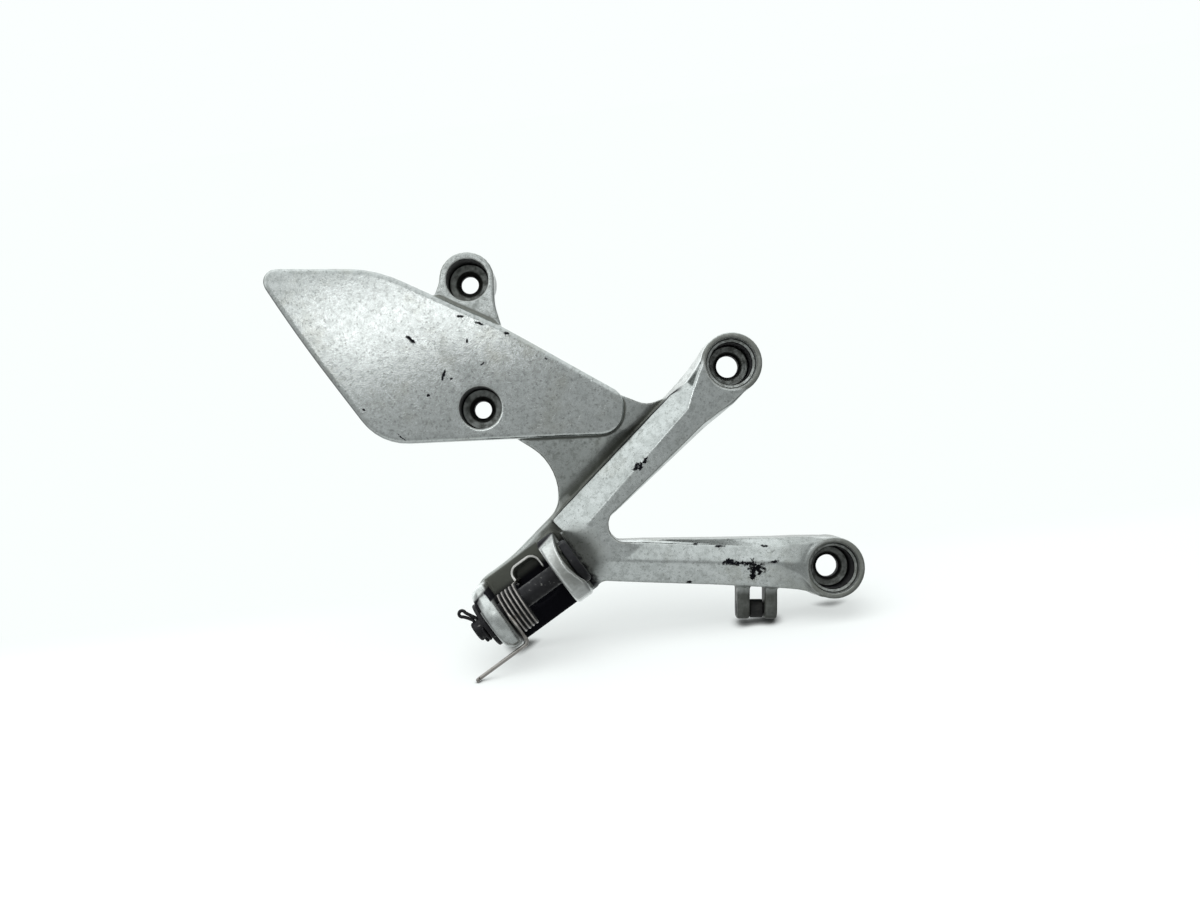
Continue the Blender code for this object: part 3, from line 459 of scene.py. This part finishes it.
class Casting:
    """Places, facings, noises and regions that the casting's dirt, wear, painted shade and painted
    highlights share.
    """

    def __init__(self):
        graph = Graph("cast_aluminium")
        place = graph.place()
        self.graph = graph
        self.place = place
        parts = graph.tree.nodes.new("ShaderNodeSeparateXYZ")
        graph.tree.links.new(place, parts.inputs[0])
        self.x, self.y, self.z = parts.outputs
        normal = graph.add("TexCoord", 1)
        self.facing_back = graph.along(normal, (0.0, 1.0, 0.0))
        self.facing_up = graph.along(normal, (-0.3, 0.0, 1.0))
        self.flat = graph.math("ABSOLUTE", self.facing_back)
        self.relief = graph.add("Attribute", 2, attribute_name="relief")
        self.grain = graph.noise(place, 0.45, detail=2.0, roughness=0.6)
        self.pits = graph.noise(place, 0.9, detail=3.0, roughness=0.65)
        self.speckle = graph.noise(place, 1.7, detail=5.0, roughness=0.8)
        self.smudge = graph.noise(place, 2.4, detail=6.0, roughness=0.75)
        self.mottle = graph.noise(place, 6.0, detail=6.0, roughness=0.7)
        self.patches = graph.noise(place, 19.0, detail=4.0, roughness=0.6)
        from_pin = graph.vector("SUBTRACT", place, PIVOT)
        self.out = graph.along(from_pin, PIVOT_AXIS)
        self.across = graph.along(from_pin, PIVOT_ACROSS)
        from_root = graph.vector("SUBTRACT", place, UPPER_ARM_ROOT)
        self.beside_arm = graph.along(from_root, UPPER_ARM_SIDE)
        self.off_boss = graph.span(near_axis(graph, place, UPPER_BOLT), 19.0, 24.0)
        self.edge = self.rubbed_edge()
        self.bored = self.bore()
        self.clevis = self.clevis_inside()
        self.fork = self.dirty_fork()
        self.stroke = self.strokes()

    def rubbed_edge(self):
        """Outer edges of the front, rubbed bright."""
        graph = self.graph
        rubbed = graph.plus(self.relief, graph.times(self.mottle, 0.06))
        return graph.times(graph.span(rubbed, -0.12, -0.26), graph.span(self.flat, 0.7, 0.86))

    def bore(self):
        """Inside of the four bolt holes and their counterbores, where grease and painted shade darken the
        metal.
        """
        graph = self.graph
        found = []
        for bolt, radius, soft in BORES:
            found.append(graph.span(near_axis(graph, self.place, bolt), radius + soft, radius))
        return graph.most(found)

    def clevis_inside(self):
        """Wall and lugs of the clevis where the footrest sits, but not its back: painted shade with grease.
        """
        graph = self.graph
        gap = graph.between(self.out, *CLEVIS_OUT, 0.4)
        depth = graph.span(self.y, CLEVIS_FRONT, -30.0)
        height = graph.between(self.across, *CLEVIS_ACROSS, 0.5)
        return graph.times(gap, depth, height, graph.span(self.facing_back, 0.75, 0.45))

    def dirty_fork(self):
        graph = self.graph
        where = graph.times(graph.between(self.x, *FORK_SIDES, 2.0), graph.span(self.z, FORK_TOP, -90.0))
        return graph.times(where, graph.span(self.mottle, 0.3, 0.7, 0.95, 0.75))

    def strokes(self):
        """Scratches, where the patches let them show."""
        graph = self.graph
        found = [scratches(graph, self.place, angle, 9.0, 0.3) for angle in (12.0, -38.0, 71.0)]
        return graph.times(graph.most(found), graph.span(self.patches, 0.42, 0.58))

    def metal(self):
        """Mottled bare metal with dark pits, bright grain and scratches."""
        graph = self.graph
        tint = graph.blend(graph.span(self.mottle, 0.3, 0.7), METAL_DARK, METAL_LIGHT)
        tint = graph.blend(graph.span(self.smudge, 0.44, 0.64, 0.0, 0.5), tint, METAL_SMUDGED)
        tint = graph.blend(graph.span(self.patches, 0.52, 0.7, 0.0, 0.35), tint, METAL_WARM)
        tint = graph.blend(graph.span(self.pits, 0.57, 0.66, 0.0, 0.6), tint, PIT_DARK)
        speckled = graph.span(self.patches, 0.4, 0.6, 0.15, 0.75)
        tint = graph.blend(graph.times(graph.span(self.speckle, 0.6, 0.66), speckled), tint, SPECKLE_DARK)
        tint = graph.blend(graph.span(self.grain, 0.56, 0.7, 0.0, 0.4), tint, GRAIN_BRIGHT)
        return graph.blend(graph.times(self.stroke, 0.22), tint, SCRATCH_BRIGHT)

    def worn_metal(self):
        """The bare metal, with painted shade on the web and the back and by the lower boss, a painted
        highlight with polish on the upper lug, painted shade on the lugs' lower part, and rubbed edges.
        """
        graph = self.graph
        # Painted shade: darker on surfaces set back from the front
        tint = graph.blend(graph.span(self.y, -23.0, -17.0, 0.0, 0.45), self.metal(), METAL_SHADE_BEHIND)
        # Painted shade on the facets by the lower boss
        by_boss = graph.span(near_axis(graph, self.place, LOWER_BOLT), 27.0, 15.0, 0.0, 0.5)
        tint = graph.blend(by_boss, tint, BOSS_SHADE)
        lug = graph.span(self.y, LUG_FRONT, -35.0)
        # Painted highlight, with polish, on the upper lug
        upper_lug = graph.times(lug, graph.span(self.out, -5.0, 5.0, 0.25, 0.9))
        tint = graph.blend(upper_lug, tint, LUG_POLISH_AND_HIGHLIGHT)
        # Painted shade on the lugs' lower part
        lug_foot = graph.times(lug, graph.span(self.across, -8.0, 6.0, 0.0, 0.4))
        lug_foot = graph.times(lug_foot, graph.span(self.smudge, 0.35, 0.6, 0.7, 1.0))
        tint = graph.blend(lug_foot, tint, LUG_SHADE)
        return graph.blend(graph.times(self.edge, 0.25), tint, EDGE_BRIGHT)

    def corner_grime_and_shade(self):
        """Grime and painted shade where little light reaches: painted shade from ambient occlusion and on
        set-back faces that don't face up, grime and painted shade in hollows and over the web beside the
        upper arm, and grime stains on the web.
        """
        graph = self.graph
        # Painted shade from ambient occlusion, and on set-back faces that don't face up
        open_sky = graph.add("AmbientOcclusion", 1, {"Distance": 12.0 * MM}, samples=8)
        behind = graph.span(self.y, FRONT_OF_NODE, -8.0, 0.0, 0.35)
        behind = graph.times(behind, graph.span(self.facing_up, 0.8, 0.5))
        shade_and_filth = graph.plus(graph.less(1.0, open_sky), behind)
        shade_and_filth = graph.plus(shade_and_filth, graph.times(self.mottle, 0.6))
        # Grime and painted shade in hollows
        corner = graph.span(graph.plus(self.relief, graph.times(self.mottle, 0.1)), 0.08, 0.26)
        # Painted shade with grime on the web beside the upper arm
        by_arm = graph.times(graph.span(self.y, -22.0, -20.0), graph.span(self.beside_arm, 20.0, 7.5))
        by_arm = graph.times(by_arm, graph.span(self.smudge, 0.35, 0.65, 0.5, 0.1), self.off_boss)
        on_web = graph.span(self.y, -23.0, -20.0)
        on_web = graph.times(on_web, graph.span(self.smudge, 0.45, 0.7, 0.0, 0.55))
        return graph.most([
            graph.span(shade_and_filth, 0.5, 0.95, 0.0, 0.95),
            graph.times(corner, graph.lerp(self.off_boss, 0.2, 0.9)),
            by_arm,
            on_web,
        ])

    def scoop_grime_and_shade(self, grime_and_shade):
        """The grime and painted shade, thinner in the scoop away from the lug, with a smear of grease and
        painted shade over the scoop's rim.
        """
        graph = self.graph
        front = graph.span(self.y, FRONT_OF_NODE, -22.0)
        scoop = graph.times(graph.span(self.out, 21.0, 23.0), front)
        scoop = graph.times(scoop, graph.between(self.across, -11.0, 12.0, 3.0))
        thin = graph.plus(self.out, graph.times(self.smudge, 8.0))
        grime_and_shade = graph.without(grime_and_shade, graph.times(scoop, graph.span(thin, 26.0, 35.0, 0.0, 0.85)))
        # Grease and painted shade smeared over the scoop's rim
        reach = front_length(graph, graph.vector("SUBTRACT", self.place, SCOOP_MIDDLE))
        reach = graph.plus(reach, graph.times(self.smudge, 10.0))
        grease_and_shade_smear = graph.times(graph.span(reach, 20.0, 11.0, 0.0, 0.75), front)
        return graph.most([grime_and_shade, grease_and_shade_smear])

    def grime_and_shade(self):
        """All grime and painted shade: rubbed off edges, cleared off the clevis's top strip as a painted
        highlight, painted shade along outer edges that don't face up, full in the clevis and bores as
        painted shade with grease and on the fork as dirt, and less on the bolt seats.
        """
        graph = self.graph
        grime_and_shade = self.scoop_grime_and_shade(self.corner_grime_and_shade())
        # Clevis top strip cleared of grime and painted shade: a painted highlight along its edge
        strip = graph.between(self.out, -14.0, 14.0, 2.0)
        strip = graph.times(strip, graph.span(self.across, -14.6, -15.2))
        grime_and_shade = graph.without(grime_and_shade, self.edge, 0.85)
        grime_and_shade = graph.without(grime_and_shade, strip, 0.85)
        # Painted shade along outer edges that don't face up
        edge_shade = graph.plus(self.relief, graph.times(self.smudge, 0.2))
        edge_shade = graph.span(edge_shade, -0.16, -0.3, 0.0, 0.85)
        edge_shade = graph.times(edge_shade, graph.span(self.facing_up, 0.75, 0.45))
        grime_and_shade = graph.most([grime_and_shade, self.clevis, self.fork, self.bored, edge_shade])
        bore_seat = graph.times(self.bored, graph.span(self.flat, 0.7, 0.9))
        bore_seat = graph.times(bore_seat, graph.span(self.smudge, 0.4, 0.62, 0.85, 0.3))
        return graph.without(grime_and_shade, bore_seat, 0.75)

    def black(self, specks):
        """Black grease and painted shade: painted shadow with grease in the gap at the pin head's seat,
        painted shade in the clevis's trough and along the arm's side, painted shade with grease on the bore
        walls, the black marks, and half over the fork as dirt.
        """
        graph = self.graph
        grease = graph.plus(self.out, graph.times(self.smudge, 6.0))
        # Painted shadow with grease in the gap at the pin head's seat
        seat = graph.span(self.out, LUG_INNER_FACE, LUG_INNER_FACE + 0.5)
        seat = graph.times(seat, graph.span(grease, 27.5, 24.5))
        seat = graph.times(seat, graph.between(self.across, -9.5, 13.5, 2.0))
        # Painted shade in the clevis's lower trough
        trough = graph.times(self.clevis, graph.span(self.across, -9.0, -5.5, 0.1, 1.0))
        # Painted shade along the upper arm's side
        side = graph.between(self.beside_arm, *ARM_SIDE, 0.6)
        side = graph.times(side, graph.span(self.flat, 0.8, 0.6), self.off_boss)
        side = graph.times(side, graph.span(self.y, -17.0, -19.0))
        # Painted shade with grease on the bore walls
        bore_wall = graph.times(self.bored, graph.span(self.flat, 0.85, 0.6))
        return graph.most([seat, specks, trough, side, bore_wall, graph.times(self.fork, 0.5)])

    def pocket_rim(self):
        """Thin painted highlight along the upper rim of the pocket in the clevis wall."""
        graph = self.graph
        over = graph.math("MAXIMUM", graph.less(RIM_TOP, self.across), 0.0)
        side = graph.math("ABSOLUTE", graph.less(self.out, RIM_MIDDLE))
        side = graph.math("MAXIMUM", graph.less(side, RIM_HALF_WIDTH), 0.0)
        off_line = graph.math("ABSOLUTE", graph.less(hypotenuse(graph, over, side), RIM_RADIUS))
        line = graph.times(graph.span(off_line, 0.5, 0.25), graph.span(self.across, -4.5, -6.0))
        return graph.times(line, self.clevis)

    def roughness(self, dirt_and_shade):
        """Satin metal, glossier on the heel plate and dull under the grime, grease and painted shade."""
        graph = self.graph
        plate = graph.times(graph.span(self.y, -20.0, -24.0), graph.span(self.z, -36.0, -30.0))
        rough = graph.lerp(graph.span(self.mottle, 0.3, 0.7), 0.3, 0.22)
        rough = graph.lerp(graph.times(plate, 0.75), rough, 0.1)
        return graph.lerp(dirt_and_shade, rough, 0.6)

    def height(self, specks):
        """Grain and pits, in millimetres, with the marks and scratches sunk in."""
        graph = self.graph
        height = graph.plus(graph.times(self.grain, 0.014), graph.times(self.pits, 0.024))
        height = graph.less(height, graph.times(specks, 0.06))
        return graph.less(height, graph.times(self.stroke, 0.008))


def cast_aluminium():
    """Worn die-cast skin with grime and painted shade in its corners, polished edges, black marks and black
    painted shade, and painted highlights on the upper lug, the clevis's top strip and the pocket's rim.
    """
    cast = Casting()
    graph = cast.graph
    specks = marks_mask(graph, cast.place, MARKS)
    specks = graph.times(specks, graph.span(cast.facing_back, -0.1, -0.4))
    rim = cast.pocket_rim()
    grime_and_shade = graph.without(cast.grime_and_shade(), rim)
    black = graph.without(cast.black(specks), rim)
    # Grime and painted shade, then black grease and painted shade, then the painted rim highlight
    tint = graph.blend(grime_and_shade, cast.worn_metal(), GRIME_AND_SHADE)
    tint = graph.blend(black, tint, BLACK_GREASE_AND_SHADE)
    # Painted highlight on the pocket's rim
    tint = graph.blend(rim, tint, RIM_HIGHLIGHT)
    dirt_and_shade = graph.most([graph.times(grime_and_shade, 0.9), black])
    return graph.finish(
        cast.height(specks), 0.6, 1.0,
        Base_Color=tint,
        Roughness=cast.roughness(dirt_and_shade),
        Metallic=graph.lerp(graph.most([dirt_and_shade, rim]), 0.98, 0.1),
        Specular_IOR_Level=graph.lerp(black, 0.5, 0.05),
    )


def dark_steel():
    """Blackened pin steel under old grease."""
    graph = Graph("pin_steel")
    place = graph.place()
    patches = graph.noise(place, 2.2, detail=5.0, roughness=0.65)
    fine = graph.noise(place, 0.35, detail=3.0)
    bare = graph.span(patches, 0.62, 0.72)
    tint = graph.blend(bare, colour(0.008, 0.008, 0.01), colour(0.2, 0.2, 0.19))
    rough = graph.lerp(graph.span(patches, 0.35, 0.6), 0.65, 0.45)
    return graph.finish(fine, 0.5, 0.06, Base_Color=tint, Roughness=rough, Metallic=0.35)


def spring_steel():
    """Drawn wire, bare and bright only along the crest of its turns, near-black between them as grease and
    painted shade, which leaves thin highlight lines.
    """
    graph = Graph("spring_steel")
    place = graph.place()
    patches = graph.noise(place, 3.5, detail=4.0, roughness=0.6)
    fine = graph.noise(place, 0.3, detail=2.0)
    from_middle = graph.vector("SUBTRACT", place, SPRING_MIDDLE)
    off_axis = graph.vector("CROSS_PRODUCT", from_middle, PIVOT_AXIS)
    # Bare metal only on the crest; painted shade with grease elsewhere, leaving thin highlight lines
    crest = graph.span(graph.vector("LENGTH", off_axis), SPRING_REACH - 0.24, SPRING_REACH - 0.06)
    film = graph.span(patches, 0.5, 0.72)
    wire = graph.blend(film, colour(0.8, 0.76, 0.72), colour(0.36, 0.31, 0.26))
    leg = graph.span(graph.vector("LENGTH", off_axis), SPRING_REACH + 0.5, SPRING_REACH + 1.5, 0.0, 0.7)
    wire = graph.blend(leg, wire, colour(0.22, 0.21, 0.2))
    tint = graph.blend(crest, colour(0.012, 0.012, 0.012), wire)
    rough = graph.lerp(crest, 0.55, 0.24)
    return graph.finish(fine, 0.2, 0.03, Base_Color=tint, Roughness=rough, Metallic=crest)


def black_rubber():
    """Dull black bush with a dusty skin."""
    graph = Graph("black_rubber")
    place = graph.place()
    dust = graph.noise(place, 1.8, detail=5.0, roughness=0.7)
    dusty = graph.span(dust, 0.45, 0.8)
    tint = graph.blend(dusty, colour(0.006, 0.006, 0.006), colour(0.025, 0.025, 0.022))
    return graph.finish(dust, 0.3, 0.08, Base_Color=tint, Roughness=0.75, Metallic=0.0)


def dress(node, finish):
    """One finish over a whole piece."""
    node.data.materials.clear()
    node.data.materials.append(finish)


def round_off(node, voxel):
    """Eases a turned piece's facets and edges."""
    modifier(node, "WELD", merge_threshold=WELD_REACH)
    modifier(node, "REMESH", mode="VOXEL", voxel_size=voxel, use_smooth_shade=True)
    modifier(node, "SMOOTH", factor=0.5, iterations=EASING_ROUNDS)


def round_wire(node):
    """Turns a faceted wire into a round one."""
    modifier(node, "WELD", merge_threshold=WELD_REACH)
    modifier(node, "SUBSURF", levels=2, render_levels=2)
    modifier(node, "DISPLACE", strength=WIRE_SWELL, mid_level=0.0)
    for face in node.data.polygons:
        face.use_smooth = True


# Stage

def soft_light(name, place, aim, size, radiance, roll=0.0, glossy=True):
    """Rectangular lamp whose face is as bright as the radiance says."""
    data = bpy.data.lights.new(name, "AREA")
    data.shape = "RECTANGLE"
    data.size = size[0]
    data.size_y = size[1]
    data.energy = radiance * math.pi * size[0] * size[1]
    lamp = bpy.data.objects.new(name, data)
    bpy.context.scene.collection.objects.link(lamp)
    lamp.location = place
    turn = (Vector(aim) - Vector(place)).to_track_quat("-Z", "Y")
    lamp.rotation_euler = (turn @ Quaternion((0.0, 0.0, 1.0), math.radians(roll))).to_euler()
    lamp.visible_glossy = glossy
    return lamp


def studio():
    """World that is dim in front, brighter above, below and behind, and plain white as a background."""
    world = bpy.data.worlds.new("studio")
    bpy.context.scene.world = world
    world.use_nodes = True
    graph = Graph("studio", world)
    way = graph.add("TexCoord", 0)
    lean = graph.along(way, (-0.5, 0.0, 0.87))
    up = graph.along(way, (0.0, 0.0, 1.0))
    behind = graph.along(way, (0.0, 1.0, 0.0))
    level = graph.plus(graph.span(lean, 0.03, 0.33, 0.4, 0.9), graph.span(lean, 0.55, 0.95, 0.0, 0.3))
    level = graph.plus(level, graph.span(up, -0.35, -0.85, 0.0, 0.25))
    sides = graph.times(graph.between(behind, -0.15, 0.6, 0.15), graph.span(up, 0.7, 0.3))
    sides = graph.times(sides, graph.span(up, -0.85, -0.5, 0.35, 1.0))
    level = graph.without(level, sides, 0.75)
    level = graph.plus(level, graph.span(behind, 0.6, 0.9, 0.0, 0.55))
    path = graph.tree.nodes.new("ShaderNodeLightPath")
    level = graph.lerp(path.outputs["Is Camera Ray"], level, 1.0)
    back = graph.add("Background", 0, {"Color": colour(0.965, 1.0, 0.995), "Strength": level})
    out = graph.tree.nodes.new("ShaderNodeOutputWorld")
    graph.tree.links.new(back, out.inputs["Surface"])


def white_table():
    """White paint that keeps the shadow near the hanger, with a painted contact shadow where ambient
    occlusion dims its glowing white, shown to the camera from its front only.
    """
    graph = Graph("white_table")
    path = graph.tree.nodes.new("ShaderNodeLightPath")
    facing = graph.less(1.0, graph.add("NewGeometry", 6))
    shown = graph.times(path.outputs["Is Camera Ray"], facing)
    back = graph.along(graph.place(), (0.0, 1.0, 0.0))
    paint = graph.add("BsdfDiffuse", 0, {"Color": colour(0.7, 0.72, 0.715)})
    white = graph.add("Emission", 0, {"Color": WHITE, "Strength": 1.0})
    # Painted contact shadow: the glowing white darkened by ambient occlusion near the hanger
    open_sky = graph.add("AmbientOcclusion", 1, {"Distance": CONTACT_REACH * MM}, samples=16)
    painted_contact_shadow = graph.add("Emission", 0, {"Color": WHITE, "Strength": graph.span(open_sky, 0.3, 0.95)})
    paint = graph.add("MixShader", 0, {0: CONTACT_SHARE, 1: paint, 2: painted_contact_shadow})
    lit = graph.add("MixShader", 0, {0: graph.span(back, *FLOOR_FADE), 1: paint, 2: white})
    clear = graph.add("BsdfTransparent")
    graph.add_output(graph.add("MixShader", 0, {0: shown, 1: clear, 2: lit}))
    return graph.material


def floor():
    """Table under the clevis, the fork and the spring's leg. The hanger leans, so the table rises to the
    back and to the right."""
    corners = [(-1, -1), (1, -1), (1, 1), (-1, 1)]
    places = []
    for x, y in corners:
        height = FLOOR_HEIGHT + FLOOR_HALF * (FLOOR_RISE_RIGHT * x + FLOOR_RISE_BACK * y)
        places.append((FLOOR_HALF * x, FLOOR_HALF * y, height))
    mesh = bpy.data.meshes.new("floor")
    mesh.from_pydata(places, [], [(0, 1, 2, 3)])
    sheet = bpy.data.objects.new("floor", mesh)
    bpy.context.scene.collection.objects.link(sheet)
    sheet.data.materials.append(white_table())


def camera():
    data = bpy.data.cameras.new("camera")
    data.lens = CAMERA_LENS
    data.sensor_width = 36.0
    data.shift_x, data.shift_y = CAMERA_SHIFT
    item = bpy.data.objects.new("camera", data)
    bpy.context.scene.collection.objects.link(item)
    item.location = CAMERA_PLACE
    item.rotation_euler = (math.pi / 2, 0.0, 0.0)
    bpy.context.scene.camera = item


skin = cast_skin(nodes["hanger_casting"], "casting_skin", VOXEL,
                 INNER_FILLET, OUTER_FILLET, SKIN_TRIANGLES)
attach(skin, "hanger")
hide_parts("hanger_casting")
dress(skin, cast_aluminium())

steel = dark_steel()
for name in ("pivot_pin", "pin_washer", "fork_pin"):
    dress(nodes[name], steel)
    round_off(nodes[name], STEEL_VOXEL)
dress(nodes["split_pin"], steel)
round_wire(nodes["split_pin"])
dress(nodes["return_spring"], spring_steel())
round_wire(nodes["return_spring"])
dress(nodes["fork_bush"], black_rubber())
round_off(nodes["fork_bush"], BUSH_VOXEL)

camera()
studio()
floor()
soft_light("sheen", place=(-0.2, -0.66, 0.084), aim=(-0.13, 0.0, 0.02), size=(0.19, 0.055),
           radiance=1.6, roll=13.0)
soft_light("key", place=(-0.2, -0.3, 0.5), aim=(-0.03, 0.0, -0.1), size=(0.8, 0.8),
           radiance=2.6, glossy=False)

bpy.context.scene.view_settings.view_transform = "Standard"
